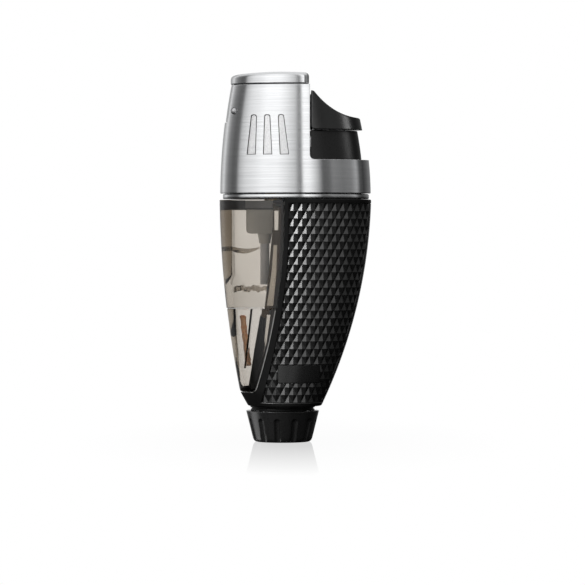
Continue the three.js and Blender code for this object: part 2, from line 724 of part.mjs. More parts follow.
add('burner_base', burnerBase(), brass, 0, 0, burner);
add('burner_tube', burnerTube(), steel, 0, 0, burner);
add('jet_plate', jetPlate(), brass, 0, 0, burner);
add('flame_guard', flameGuard(), steel, 0, 0, burner);
add('electrode', electrode(), steel, 0, 0, burner);
add('electrode_insulator', electrodeInsulator(), ceramic, 0, 0, burner);
add('gas_hose', sleeve(1.55, 0.95, 72.7, 76.05), silicone, 0, 0, burner);
add('valve_body', valveBody(), brass, 0, 0, burner);
add('valve_stem', valveStem(), brass, 0, 0, burner);
add('valve_spring', coilSpring(1.5, 0.17, 65, 68.9, 5, 0), steel, 0, 0, burner);
add('valve_o_ring', ringSeal(3.2, 0.4, 0, 64.65), sealRubber, 0, 0, burner);
add('ignition_lead', ignitionLead(), redWire);
add('gas_lever', gasLever(), steel);

add('piezo_case', piezoCase(), blackPlastic);
add('piezo_contact', piezoContact(), brass);
add('piezo_crystal', disc(1.1, 58.1, 62.5), ceramic, PIEZO_X);
add('piezo_spring', coilSpring(1.65, 0.25, 58.1, 69.9, 7, 0), steel, PIEZO_X);
add('piezo_plunger', piezoPlunger(), innerPlastic);

add('thumb_trigger', thumbTrigger(), blackPlastic);
add('trigger_skirt', triggerSkirt(), blackPlastic);
add('cam_yoke', camYoke(), steel);
add('lid_cap', lidCap(), brushedMetal);
add('lid_crank_pin', crossBar(CRANK.pin, 3, crankInYoke(0).x, crankInYoke(0).y, 16), steel);

export default lighter;
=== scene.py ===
"""Looks for a pocket jet lighter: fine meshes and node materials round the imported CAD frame."""

import json
import math

import bmesh
import bpy
import numpy as np
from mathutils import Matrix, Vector


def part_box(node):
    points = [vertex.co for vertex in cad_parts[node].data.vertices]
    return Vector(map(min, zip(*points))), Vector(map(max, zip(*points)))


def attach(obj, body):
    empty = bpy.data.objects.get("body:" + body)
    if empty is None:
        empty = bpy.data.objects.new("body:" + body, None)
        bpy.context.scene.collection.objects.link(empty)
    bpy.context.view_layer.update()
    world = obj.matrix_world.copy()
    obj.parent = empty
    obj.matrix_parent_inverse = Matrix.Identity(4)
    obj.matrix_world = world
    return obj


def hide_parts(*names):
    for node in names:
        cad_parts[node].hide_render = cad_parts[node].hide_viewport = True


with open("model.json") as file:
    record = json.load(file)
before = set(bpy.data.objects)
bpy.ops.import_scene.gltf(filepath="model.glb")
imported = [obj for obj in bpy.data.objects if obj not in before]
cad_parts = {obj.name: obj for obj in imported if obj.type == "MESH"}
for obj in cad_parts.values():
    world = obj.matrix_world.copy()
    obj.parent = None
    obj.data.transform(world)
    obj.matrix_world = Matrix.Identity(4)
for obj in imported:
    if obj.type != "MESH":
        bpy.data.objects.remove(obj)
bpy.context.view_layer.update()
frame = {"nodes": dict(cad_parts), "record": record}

MM = 0.001  # shapes below are worked out in millimetres


# ------------------------------------------------------------------ sizes, from the frame


def low(node, axis=2):
    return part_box(node)[0][axis] / MM


def high(node, axis=2):
    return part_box(node)[1][axis] / MM


def middle(node, axis=0):
    return (low(node, axis) + high(node, axis)) / 2


WHEEL_X = middle("adjuster_wheel")
WHEEL_TOP = high("adjuster_wheel")

BODY_BOTTOM = 9.7
BODY_TOP = high("grip_housing")
BODY_WIDEST = 69
BODY_FRONT, FRONT_ARC = -20.5, 285  # the end at the widest height, and the radius of the edge below it
BODY_REAR, REAR_ARC = 20.55, 137
BODY_HALF, HALF_TAPER = 11.6, 1.75  # half the width at the top, and how much of it goes towards the bottom
FOOT_TOP, FOOT_SLOPE = 14, 0.35  # below this height the front draws in faster, by this much more

HEAD_BOTTOM = low("head_shell")
HEAD_TOP = high("head_shell")
HEAD_WIDEST = 66
HEAD_FRONT, HEAD_FRONT_TAPER = -20.33, 322  # a taper divides the square of the height above the widest place
HEAD_REAR, HEAD_REAR_TAPER, BARREL_REAR_TAPER = 20.4, 190, 340
HEAD_HALF, HEAD_HALF_TAPER = 11.3, 900
HEAD_WALL = 1.2
SHOULDER = 75.9
BARREL_REAR = high("lid_cap", 0) + 0.2

LID_BOTTOM = HEAD_TOP + 0.2
LID_CEILING = 98.2  # of the hollow in the cap
LID_TOP = high("lid_cap") - 0.42
LID_ROUND = 1.15  # radius of its rim
PIN_X, PIN_Z = middle("lid_pin"), middle("lid_pin", 2)
CRANK_X, CRANK_Z = middle("lid_crank_pin"), middle("lid_crank_pin", 2)

SLOTS = ((-11.1, -11.8), (-7.5, -7.4), (-3.8, -2.9))  # top and bottom middle of each, on X
SLOT_DEPTH = 0.3
SLOT_EDGE_DEPTH = 0.75  # of the narrow trench round each slot's floor
RIB_DEPTH = 0.45  # how far the trigger's guide ribs reach into the shell

PANEL_LOW, PANEL_HIGH = low("rubber_grip"), high("rubber_grip")
PANEL_BED = 0.95  # depth of the grip's recess for the rubber
RUBBER_THICK = 0.9
KNURL_WIDTH = 2.35
KNURL_ROWS = 26
KNURL_TIP, KNURL_DEPTH = 0.03, 0.52  # how deep the pyramids' tips and feet lie under the oval
KNURL_FROM = -1.7  # where the columns of pyramids are counted from, on X
KNURL_COLUMNS = (-9, 32)
SPINE = 2.3  # half width of the smooth strip down the rear
PLAQUE = (-4.7, 6.7, 16.0, 21.0)  # low and high on X, low and high on Z

WELD_LINE = 36.0  # between the two tank mouldings
UPPER_WALL, LOWER_WALL = 1.9, 1.5  # of the mouldings, beside their large hollows
CAVITY_TOP = 62.8
FLUTES = 12


# ------------------------------------------------------------------ ovals


def arc_drop(radius, along):
    return radius - math.sqrt(radius**2 - along**2)


def body_oval(z):
    """Front and rear ends on X, and half the width on Y, of the body at a height."""
    below = max(BODY_WIDEST - z, 0)
    front = BODY_FRONT + arc_drop(FRONT_ARC, below) + FOOT_SLOPE * max(FOOT_TOP - z, 0)
    rear = BODY_REAR - arc_drop(REAR_ARC, below)
    half = BODY_HALF - HALF_TAPER * ((BODY_TOP - z) / (BODY_TOP - BODY_BOTTOM)) ** 2
    return front, rear, half


def head_oval(z):
    """The same for the head and the trigger in it."""
    up = (z - HEAD_WIDEST) ** 2
    front = HEAD_FRONT + up / HEAD_FRONT_TAPER
    return front, HEAD_REAR - up / HEAD_REAR_TAPER, HEAD_HALF - up / HEAD_HALF_TAPER


def barrel_oval(z):
    """The head's oval, with its rear end steeper above the shoulder, where only the barrel is left."""
    front, rear, half = head_oval(z)
    if z > SHOULDER:
        start = (SHOULDER - HEAD_WIDEST) ** 2
        rear = HEAD_REAR - start / HEAD_REAR_TAPER - ((z - HEAD_WIDEST) ** 2 - start) / BARREL_REAR_TAPER
    return front, rear, half


def ring_oval(z):
    return -19.6, 19.9, 10.8


def axes(oval, z):
    """Middle on X, half the length and half the width of an oval at a height."""
    front, rear, half = oval(z)
    return (front + rear) / 2, (rear - front) / 2, half


# ------------------------------------------------------------------ mesh tools


def solid(verts, faces):
    """A closed mesh object from vertices in millimetres, its faces turned outwards."""
    mesh = bpy.data.meshes.new("solid")
    mesh.from_pydata([[c * MM for c in v] for v in verts], [], faces)
    work = bmesh.new()
    work.from_mesh(mesh)
    bmesh.ops.remove_doubles(work, verts=work.verts, dist=1e-7)
    bmesh.ops.recalc_face_normals(work, faces=work.faces)
    work.to_mesh(mesh)
    work.free()
    obj = bpy.data.objects.new("solid", mesh)
    bpy.context.scene.collection.objects.link(obj)
    return obj


def circle(count):
    """Angles that divide a full turn evenly."""
    return [2 * math.pi * k / count for k in range(count)]


def stacked(rows, ring=False):
    """Solid through rows of points, each of which closes. A ring joins its last row to its first."""
    columns = len(rows[0])
    faces = []
    for r in range(len(rows) if ring else len(rows) - 1):
        below, above = r * columns, (r + 1) % len(rows) * columns
        for c in range(columns):
            d = (c + 1) % columns
            faces.append((below + c, below + d, above + d, above + c))
    if not ring:
        last = (len(rows) - 1) * columns
        faces += [tuple(range(columns))[::-1], tuple(range(last, last + columns))]
    return solid([point for row in rows for point in row], faces)


def loft(oval, levels_and_insets, around=160, ring=False):
    """Solid through the ovals at some heights, each drawn in by an inset."""
    rows = []
    for z, inset in levels_and_insets:
        m, a, b = axes(oval, z)
        rows.append([(m + (a - inset) * math.cos(t), (b - inset) * math.sin(t), z) for t in circle(around)])
    return stacked(rows, ring)


def levels(z0, z1, steps, inset=0.0, edge=0.0):
    """Heights and insets for loft between two heights, with both ends rounded off by a radius."""
    if not edge:
        return [(z0 + (z1 - z0) * k / steps, inset) for k in range(steps + 1)]
    turns = [math.radians(a) for a in (0, 22.5, 45, 67.5, 90)]
    corner = [(edge * (1 - math.sin(t)), inset + edge * (1 - math.cos(t))) for t in turns]
    span = z1 - z0 - 2 * edge
    between = [(z0 + edge + span * k / steps, inset) for k in range(1, steps)]
    return [(z0 + d, i) for d, i in corner[::-1]] + between + [(z1 - d, i) for d, i in corner]


def turned(profile, x=0.0, around=64, closed=False):
    """Solid of revolution about a vertical axis. profile is [(radius, height)]."""
    rows = [[(x + r * math.cos(t), r * math.sin(t), z) for t in circle(around)] for r, z in profile]
    return stacked(rows, closed)


def cross_pin(radius, half_length, x, z, dome):
    """Round pin along Y with domed ends."""
    steps = [math.radians(a) for a in (90, 65, 40, 15, 0)]
    profile = [(radius * math.cos(t) + 1e-4, half_length - dome + dome * math.sin(t)) for t in steps]
    profile += [(r, -y) for r, y in profile[::-1]]
    return stacked([[(x + r * math.cos(t), y, z + r * math.sin(t)) for t in circle(40)] for r, y in profile])


def prism(outline, y0=-20.0, y1=20.0):
    """An outline of (x, z) points carried along Y."""
    return stacked([[(x, y, z) for x, z in outline] for y in (y0, y1)])


def block(x0, x1, y0, y1, z0, z1):
    return prism([(x0, z0), (x1, z0), (x1, z1), (x0, z1)], y0, y1)


def bend(points, steps=12):
    """Points of the Bezier curve through 3 or 4 control points, without the first."""
    pts = [np.array(p, float) for p in points]
    out = []
    for k in range(1, steps + 1):
        level = pts
        while len(level) > 1:
            level = [a + (b - a) * k / steps for a, b in zip(level, level[1:])]
        out.append(tuple(level[0]))
    return out


def applied(obj):
    """Bakes the object's modifiers into its mesh."""
    mesh = bpy.data.meshes.new_from_object(obj.evaluated_get(bpy.context.evaluated_depsgraph_get()))
    obj.modifiers.clear()
    obj.data = mesh
    return obj


def carve(obj, tool, how="DIFFERENCE"):
    """Boolean of two solids. The tool is used up."""
    step = obj.modifiers.new("carve", "BOOLEAN")
    step.object = tool
    step.operation = how
    step.solver = "EXACT"
    applied(obj)
    bpy.data.objects.remove(tool)
    return obj


def joined(first, *others):
    """One object that holds several solids, each still closed."""
    work = bmesh.new()
    for obj in (first, *others):
        work.from_mesh(obj.data)
    work.to_mesh(first.data)
    work.free()
    for obj in others:
        bpy.data.objects.remove(obj)
    return first


def softened(obj, voxel, smooth=6):
    """Rounds every edge of a moulded solid by remeshing it finely and smoothing."""
    step = obj.modifiers.new("remesh", "REMESH")
    step.mode = "VOXEL"
    step.voxel_size = voxel * MM
    step = obj.modifiers.new("smooth", "SMOOTH")
    step.factor = 0.5
    step.iterations = smooth
    return applied(obj)


def place(obj, name, body, look, nodes=(), angle=32):
    """Names a finished piece, shades it, gives it its material, and hangs it on its CAD body."""
    obj.name = name
    obj.data.name = name
    obj.data.materials.clear()
    obj.data.materials.append(look)
    obj.data.shade_smooth()
    if angle:
        obj.data.set_sharp_from_angle(angle=math.radians(angle))
    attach(obj, body)
    if nodes:
        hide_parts(*nodes)
    return obj


def oval_depth(point, oval):
    """How deep a point lies under the oval surface, and the outward normal there."""
    step = 0.01

    def level(x, y, z):
        m, a, b = axes(oval, z)
        return math.hypot((x - m) / a, y / b)

    slope = np.array([level(*(point + d)) - level(*(point - d)) for d in np.eye(3) * step]) / (2 * step)
    steep = np.linalg.norm(slope)
    return (1 - level(*point)) / max(steep, 1e-6), slope / max(steep, 1e-9)


def oval_normals(obj, oval, depths=(0.0,)):
    """Gives the faces that lie on the oval surface its exact normals, so that cuts don't dent the gloss."""
    mesh = obj.data
    normals = np.zeros(len(mesh.loops) * 3, dtype=np.float32)
    mesh.corner_normals.foreach_get("vector", normals)
    normals = normals.reshape(-1, 3)
    verts = np.array([v.co for v in mesh.vertices]) / MM
    for face in mesh.polygons:
        centre = np.array(face.center) / MM
        depth, normal = oval_depth(centre, oval)
        if min(abs(depth - d) for d in depths) > 0.12 or np.dot(normal, face.normal) < 0.97:
            continue
        for corner in face.loop_indices:
            vert = verts[mesh.loops[corner].vertex_index]
            normals[corner] = oval_depth(vert, oval)[1]
    mesh.normals_split_custom_set(normals.tolist())
    return obj


# ------------------------------------------------------------------ materials


COLOUR_A, COLOUR_B, COLOUR_OUT = 6, 7, 2  # sockets of a Mix node that is set to colours


class Nodes:
    """Short names for building a node tree. Values given to a node may be other nodes' output sockets."""

    def __init__(self, owner, output="ShaderNodeOutputMaterial"):
        owner.use_nodes = True
        self.owner = owner
        self.tree = owner.node_tree
        self.tree.nodes.clear()
        self.output = self.tree.nodes.new(output)

    def feed(self, target, value):
        """Sets an input socket, or links an output socket to it."""
        if isinstance(value, bpy.types.NodeSocket):
            self.tree.links.new(value, target)
        else:
            target.default_value = value

    def add(self, kind, inputs=None, **settings):
        node = self.tree.nodes.new(kind)
        for key, value in settings.items():
            setattr(node, key, value)
        for key, value in (inputs or {}).items():
            self.feed(node.inputs[key], value)
        return node

    def place_coordinates(self, scale):
        """Coordinates in the row frame, in metres, stretched by a scale on each axis."""
        where = self.add("ShaderNodeTexCoord").outputs["Object"]
        return self.add("ShaderNodeMapping", {"Vector": where, "Scale": scale}).outputs["Vector"]

    def noise(self, scale, detail, rough):
        """Noise with features of about one unit of the scaled coordinates."""
        where = self.place_coordinates(scale)
        inputs = {"Vector": where, "Scale": 1.0, "Detail": detail, "Roughness": rough}
        return self.add("ShaderNodeTexNoise", inputs).outputs["Fac"]

    def ranged(self, source, low_value, high_value, start=0.3, end=0.7, smooth=False):
        """A value carried from the range start to end over to another range, and held at its limits."""
        inputs = {"Value": source, "From Min": start, "From Max": end}
        inputs.update({"To Min": low_value, "To Max": high_value})
        curve = "SMOOTHSTEP" if smooth else "LINEAR"
        return self.add("ShaderNodeMapRange", inputs, interpolation_type=curve).outputs["Result"]

    def mix(self, share, first, second, how="MIX"):
        inputs = {0: share, COLOUR_A: first, COLOUR_B: second}
        return self.add("ShaderNodeMix", inputs, data_type="RGBA", blend_type=how).outputs[COLOUR_OUT]

    def tones(self, source, dark, light):
        """Colour that wanders between two tones."""
        return self.mix(self.ranged(source, 0, 1), (*dark, 1), (*light, 1))

    def ramp(self, source, stops):
        """Grey by direction. stops is [(degrees from -180 to 180, brightness)], source runs from 0 to 1."""
        node = self.add("ShaderNodeValToRGB", {"Fac": source})
        elements = node.color_ramp.elements
        while len(elements) < len(stops):
            elements.new(0.5)
        for stop, (degrees, brightness) in zip(elements, stops):
            stop.position = (degrees + 180) / 360
            stop.color = (brightness, brightness, brightness, 1)
        return node.outputs["Color"]

    def bump(self, source, strength, distance, after=None):
        inputs = {"Height": source, "Strength": strength, "Distance": distance * MM}
        if after is not None:
            inputs["Normal"] = after
        return self.add("ShaderNodeBump", inputs).outputs["Normal"]

    def worn_edge(self, radius):
        return self.add("ShaderNodeBevel", {"Radius": radius * MM}, samples=4).outputs["Normal"]

    def surface(self, colour, roughness, normal, **values):
        """Ends a material with its shader, and returns the material."""
        inputs = {"Base Color": colour, "Roughness": roughness, "Normal": normal}
        inputs.update({key.replace("_", " "): value for key, value in values.items()})
        shader = self.add("ShaderNodeBsdfPrincipled", inputs)
        self.feed(self.output.inputs["Surface"], shader.outputs["BSDF"])
        return self.owner


def material_nodes(name):
    return Nodes(bpy.data.materials.new(name))


def brushed_metal():
    """Chromed metal with fine brushing that runs round the head."""
    n = material_nodes("brushed_metal")
    fine = n.noise((55, 55, 6500), 4, 0.65)
    broad = n.noise((35, 35, 1400), 3, 0.55)
    tone = n.tones(fine, (0.74, 0.75, 0.762), (0.88, 0.887, 0.897))
    grain = n.bump(fine, 0.12, 0.01, n.worn_edge(0.18))
    along = n.add("ShaderNodeTangent", direction_type="RADIAL", axis="Z").outputs["Tangent"]
    return n.surface(
        tone, n.ranged(broad, 0.15, 0.21), grain,
        Metallic=1.0, Anisotropic=0.95, Anisotropic_Rotation=0.25, Tangent=along,
    )


def blasted_metal():
    """Bead-blasted floor of the slots."""
    n = material_nodes("blasted_metal")
    beads = n.noise((3300, 3300, 3300), 1, 0.5)
    tone = n.tones(beads, (0.8, 0.8, 0.81), (1.0, 1.0, 1.0))
    return n.surface(tone, n.ranged(beads, 0.42, 0.3), n.bump(beads, 0.5, 0.12), Metallic=1.0)


def polished(name, dark, light, rough):
    """Turned or drawn metal with slight tarnish."""
    n = material_nodes(name)
    stain = n.noise((900, 900, 900), 4, 0.6)
    roughness = n.ranged(stain, rough * 0.8, rough * 1.3)
    return n.surface(n.tones(stain, dark, light), roughness, n.bump(stain, 0.08, 0.02), Metallic=1.0)


def moulded(name, dark, light, rough, grain=3000, bump=0.15, edge=0.15, shine=0.5):
    """Moulded plastic or rubber: fine spark-eroded grain, softly worn edges."""
    n = material_nodes(name)
    skin = n.noise((grain, grain, grain), 3, 0.55)
    cloud = n.noise((120, 120, 120), 2, 0.5)
    roughness = n.ranged(skin, rough * 0.88, rough * 1.14)
    relief = n.bump(skin, bump, 0.03, n.worn_edge(edge))
    return n.surface(n.tones(cloud, dark, light), roughness, relief, Specular_IOR_Level=shine)


def smoked_clear(name, rough):
    """Smoked clear plastic with faint flow marks. It darkens with the thickness that light crosses."""
    n = material_nodes(name)
    smoke = n.add("ShaderNodeVolumeAbsorption", {"Density": 250.0, "Color": (0.28, 0.2, 0.08, 1)})
    n.feed(n.output.inputs["Volume"], smoke.outputs["Volume"])
    flow = n.noise((130, 130, 45), 3, 0.5)
    tone = n.tones(flow, (0.95, 0.94, 0.93), (1, 1, 1))
    roughness = n.ranged(flow, rough * 0.6, rough * 1.4)
    return n.surface(tone, roughness, n.bump(flow, 0.1, 0.05), Transmission_Weight=1.0, IOR=1.46)


def sintered(name, dark, light):
    """Coarse sintered or felted wick, which lets light through."""
    n = material_nodes(name)
    grains = n.noise((1500, 1500, 1500), 5, 0.7)
    relief = n.bump(grains, 0.9, 0.3)
    return n.surface(n.tones(grains, dark, light), 0.85, relief, Transmission_Weight=0.85)


BLACKEST = ((0.006, 0.006, 0.006), (0.010, 0.010, 0.010))
DEEP_BLACK = ((0.007, 0.007, 0.007), (0.011, 0.011, 0.011))

METAL = brushed_metal()
BLASTED = blasted_metal()
# Darker metal for the slots' walls: painted shade of the narrow recesses.
SLOT_WALL_SHADE_METAL = polished("slot_wall_painted_shade", (0.10, 0.10, 0.10), (0.2, 0.2, 0.2), 0.4)
STEEL = polished("drawn_steel", (0.5, 0.5, 0.51), (0.66, 0.66, 0.67), 0.25)
BRASS = polished("turned_brass", (0.52, 0.36, 0.15), (0.72, 0.56, 0.28), 0.28)
BLACK = moulded("black_plastic", *BLACKEST, 0.34, shine=0.1)
WHEEL_BLACK = moulded("wheel_plastic", *DEEP_BLACK, 0.3, shine=0.9)
TRIGGER_BLACK = moulded("trigger_plastic", *BLACKEST, 0.22, shine=1.0)
SKIRT_BLACK = moulded("skirt_plastic", *BLACKEST, 0.3, shine=0.5)
RUBBER = moulded("black_rubber", *DEEP_BLACK, 0.28, 2600, 0.2, 0.1, 0.8)
INNER = moulded("inner_plastic", (0.035, 0.035, 0.037), (0.05, 0.05, 0.052), 0.5)
PIN_STEEL = polished("pin_steel", (0.66, 0.66, 0.67), (0.78, 0.78, 0.79), 0.5)
FILTER = moulded("filter_plastic", (0.82, 0.8, 0.74), (0.96, 0.94, 0.88), 0.4, 600)
TUBE = moulded("tube_plastic", (0.88, 0.9, 0.94), (0.98, 0.98, 1.0), 0.4, 600)
# Light grey for the tank's rounded rim: a painted highlight along the window's edge.
TANK_RIM_HIGHLIGHT = moulded("tank_rim_painted_highlight", (0.55, 0.54, 0.52), (0.75, 0.74, 0.72), 0.2)
GREY = moulded("grey_plastic", (0.15, 0.145, 0.14), (0.22, 0.215, 0.21), 0.4)
SILICONE = moulded("silicone", (0.55, 0.52, 0.46), (0.68, 0.65, 0.58), 0.4, 900)
SEAL = moulded("seal_rubber", (0.012, 0.012, 0.012), (0.022, 0.022, 0.022), 0.6, 1800)
CERAMIC = moulded("ceramic", (0.76, 0.73, 0.66), (0.84, 0.82, 0.77), 0.3, 700)
RED = moulded("red_insulation", (0.33, 0.02, 0.02), (0.42, 0.035, 0.03), 0.4, 700)
CLEAR = smoked_clear("smoked_tank", 0.03)
WICK = sintered("wick_felt", (0.85, 0.33, 0.1), (1.0, 0.86, 0.66))

CAD_LOOKS = {
    "brushed_metal": METAL,
    "black_plastic": BLACK,
    "black_rubber": RUBBER,
    "smoked_tank": CLEAR,
    "inner_plastic": INNER,
    "grey_plastic": GREY,
    "steel": STEEL,
    "brass": BRASS,
    "wick_felt": WICK,
    "silicone": SILICONE,
    "seal_rubber": SEAL,
    "ceramic": CERAMIC,
    "red_insulation": RED,
}


def paint_cad_nodes():
    """Every CAD node takes its slot's node material."""
    slots = {part["node"]: part["material_slot"] for part in frame["record"]["subparts"]}
    for name, obj in frame["nodes"].items():
        for index in range(len(obj.data.materials)):
            obj.data.materials[index] = CAD_LOOKS[slots[name]]


# ------------------------------------------------------------------ outlines in the X-Z plane


def window_outline(shift=0.0, low_z=13.5):
    """Where the tank shows: everything in front of a parabola that runs into a straight line."""
    straight, corner, x = 60.0, 14.8, -3.3 + shift
    corner_x = x - (straight - corner) ** 2 / 292
    outline = [(-30, low_z), (corner_x - 1.6, low_z)]
    outline += bend([outline[-1], (corner_x - 0.4, low_z), (corner_x, corner + 0.01)], 8)
    outline += bend([outline[-1], (x, (corner + straight) / 2), (x, straight)], 24)
    return outline + [(x, 70), (-30, 70)]


def panel_outline(grow=0.0):
    """The knurled panel's edge."""
    left, x = low("rubber_grip", 0), -1.7
    outline = [(left - grow, PANEL_LOW - grow)]
    outline += bend([outline[-1], (x - grow, 36), (x - grow, 60)], 24)
    return outline + [(x - grow, PANEL_HIGH + grow), (30, PANEL_HIGH + grow), (30, PANEL_LOW - grow)]


def notch_outline():
    """What is cut away above the shoulder, behind the barrel."""
    corner = 1.5
    outline = [(BARREL_REAR, HEAD_TOP + 5), (BARREL_REAR, SHOULDER + corner)]
    outline += bend([outline[-1], (BARREL_REAR, SHOULDER), (BARREL_REAR + corner, SHOULDER)], 8)
    return outline + [(30, SHOULDER), (30, HEAD_TOP + 5)]


def slot_outline(top_x, bottom_x, grow=0.0):
    top, bottom = 87.9 + grow, 77.2 - grow
    wide, narrow = 1.2 + grow, 0.8 + grow
    outline = [(bottom_x - wide, bottom), (bottom_x + wide, bottom), (top_x + narrow, top - 0.7)]
    outline += bend([outline[-1], (top_x + narrow, top), (top_x, top)], 5)
    outline += bend([outline[-1], (top_x - narrow, top), (top_x - narrow, top - 0.7)], 5)
    return outline


def rib(side, x0, x1, z0, z1, grow=0.0):
    """Upright bar at one of the trigger's two guide ribs."""
    y0, y1 = sorted((side * (2.6 - grow), side * (4.4 + grow)))
    return block(x0, x1, y0, y1, z0, z1)


# ------------------------------------------------------------------ head


def head_shell():
    """Shoulder and barrel, hollow, with the slots, the lid's slot and the trigger's grooves."""
    shell = loft(barrel_oval, levels(HEAD_BOTTOM, HEAD_TOP, 24, 0, 0.25), 224)
    carve(shell, prism(notch_outline()))
    hollow_out(shell)
    for side in (-1, 1):
        carve(shell, rib(side, BARREL_REAR - RIB_DEPTH - 0.15, BARREL_REAR + 1, 70, 94.6, 0.2))
    carve(shell, block(-25, -15.4, -3.2, 3.2, 86, 100))
    for side in (-1, 1):
        y0, y1 = sorted((5.9 * side, 7.4 * side))
        carve(shell, block(0, 6, y0, y1, 74, 82.7))
    carve(shell, cross_pin(0.9, 12, PIN_X, PIN_Z, 0.1))
    for top_x, bottom_x in SLOTS:
        carve_slot(shell, top_x, bottom_x)
    place(shell, "head_shell_fine", "body", METAL, ["head_shell"], 30)
    paint_slots(shell)
    return oval_normals(shell, barrel_oval, (0.0, SLOT_DEPTH))


def hollow_out(shell):
    """The chimney, the room under the shoulder, and the hole in the shoulder for the trigger."""
    chimney = loft(barrel_oval, levels(SHOULDER - 1.3, HEAD_TOP + 1, 8, HEAD_WALL), 160)
    carve(shell, carve(chimney, block(-30, BARREL_REAR - 1.1, -20, 20, 60, 110), "INTERSECT"))
    carve(shell, loft(barrel_oval, levels(HEAD_BOTTOM - 1, SHOULDER - HEAD_WALL, 4, HEAD_WALL), 160))
    hole = loft(barrel_oval, levels(SHOULDER - 4, SHOULDER + 1, 3, 1.7), 160)
    carve(shell, carve(hole, block(BARREL_REAR, 30, -20, 20, 60, 110), "INTERSECT"))


def carve_slot(shell, top_x, bottom_x):
    """Blind slot with a narrow trench round its floor."""
    trench = prism(slot_outline(top_x, bottom_x))
    carve(trench, loft(barrel_oval, levels(74, 92, 10, SLOT_EDGE_DEPTH), 200))
    carve(trench, prism(slot_outline(top_x, bottom_x, -0.17)))
    carve(shell, trench)
    # A little over the trench, so that no face is shared.
    level = prism(slot_outline(top_x, bottom_x, -0.12))
    carve(level, loft(barrel_oval, levels(74, 92, 10, SLOT_DEPTH), 200))
    carve(shell, level)


def paint_slots(shell):
    """Blasted metal on the slots' floors, and darker metal on their walls as painted shade of the narrow
    recesses.
    """
    shell.data.materials.append(BLASTED)
    shell.data.materials.append(SLOT_WALL_SHADE_METAL)
    for face in shell.data.polygons:
        centre = np.array(face.center) / MM
        if not (77 < centre[2] < 88.5 and -13.5 < centre[0] < -1.2):
            continue
        depth, normal = oval_depth(centre, barrel_oval)
        if depth > 0.03:
            level_floor = abs(depth - SLOT_DEPTH) < 0.05 and np.dot(normal, face.normal) > 0.9
            # The walls take the darker metal, which is painted shade.
            face.material_index = 1 if level_floor else 2


def lid_footprint(inset):
    """Outline of the lid seen from above: the head's oval, cut off behind the burner."""
    m, a, b = axes(barrel_oval, LID_BOTTOM)
    a, b = a - inset, b - inset
    cut = BARREL_REAR - 0.2 - inset
    corner = max(1.7 - inset, 0.15)
    reach = math.acos((cut - corner - m) / a)
    start = (m + a * math.cos(reach), b * math.sin(reach))
    side = [(m + a * math.cos(t), b * math.sin(t)) for t in np.linspace(reach, math.pi, 60)]
    flat = start[1] - corner
    turn = bend([(cut, flat), (cut, start[1]), start], 8)[:-1]
    upper = [(cut, y) for y in np.linspace(0, flat, 8)] + turn + side
    return upper + [(x, -y) for x, y in upper[-2:0:-1]]


def lid_height(x):
    return LID_TOP - 0.0035 * (x + 4) ** 2


def lid_skin():
    """Crowned cap with a rounded rim and a hollow underside."""
    centre = -6
    rows = []

    def ring(inset, height, shrink=1.0):
        """Adds the footprint at a height that may depend on x, shrunk towards the centre."""
        points = [(centre + (x - centre) * shrink, y * shrink) for x, y in lid_footprint(inset)]
        rows.append([(x, y, height(x)) for x, y in points])

    ring(1.2, lambda x: LID_CEILING, 0.02)
    ring(1.2, lambda x: LID_CEILING)
    ring(1.2, lambda x: LID_BOTTOM)
    ring(0.12, lambda x: LID_BOTTOM)
    ring(0.0, lambda x: LID_BOTTOM + 0.15)
    for turn in range(0, 91, 15):
        t = math.radians(turn)
        ring(LID_ROUND * (1 - math.cos(t)), lambda x: lid_height(x) - LID_ROUND * (1 - math.sin(t)))
    for shrink in (0.85, 0.65, 0.45, 0.25, 0.08):
        ring(LID_ROUND, lid_height, shrink)
    return stacked(rows)


def ear_outline():
    """Side of an ear, from the cap down round the crank pin and up past the hinge pin."""
    outline = [(-17.6, LID_BOTTOM + 0.3), (-18.1, 87.2), (CRANK_X - 0.9, CRANK_Z)]
    outline += bend([outline[-1], (CRANK_X - 0.8, CRANK_Z - 1), (CRANK_X, CRANK_Z - 0.95)], 5)
    outline += bend([outline[-1], (CRANK_X + 0.9, CRANK_Z - 0.9), (CRANK_X + 0.95, CRANK_Z)], 5)
    return outline + [(PIN_X + 1.5, PIN_Z), (PIN_X + 1, PIN_Z + 1.6), (-15.6, LID_BOTTOM + 0.3)]


def lid():
    """Cap, the tongue that closes the front of the chimney, and the two ears on the pins."""
    tongue = loft(barrel_oval, levels(86, 97.5, 10, 0.22), 224)
    carve(tongue, loft(barrel_oval, levels(85, 99, 10, 1.3), 224))
    carve(tongue, block(-25, -15.4, -3, 3, 86.25, LID_BOTTOM + 0.3), "INTERSECT")
    carve(tongue, block(-25, -15, -0.85, 0.85, 80, 89.3))
    ears = []
    for side in (-1, 1):
        y0, y1 = sorted((2.2 * side, 3.0 * side))
        ear = prism(ear_outline(), y0, y1)
        ears.append(carve(ear, loft(barrel_oval, levels(80, 99, 10, 0.22), 160), "INTERSECT"))
    cap = joined(lid_skin(), tongue, *ears)
    return place(cap, "lid_fine", "lid", METAL, ["lid_cap"], 28)


def trim_ring():
    z0, z1 = low("trim_ring"), high("trim_ring")
    edge = [(0.0, 0.3), (0.07, 0.1), (0.22, 0.0)]
    rows = [(z0 + d, i) for d, i in edge] + [(z1 - d, i) for d, i in edge[::-1]]
    rows += [(z1, 2.2), (z0, 2.2)]
    ring = loft(ring_oval, rows, 192, ring=True)
    return place(ring, "trim_ring_fine", "body", METAL, ["trim_ring"], 45)


def hinge_pin():
    pin = cross_pin(0.78, high("lid_pin", 1), PIN_X, PIN_Z, 0.4)
    return place(pin, "lid_pin_fine", "body", PIN_STEEL, ["lid_pin"], 40)


# ------------------------------------------------------------------ trigger


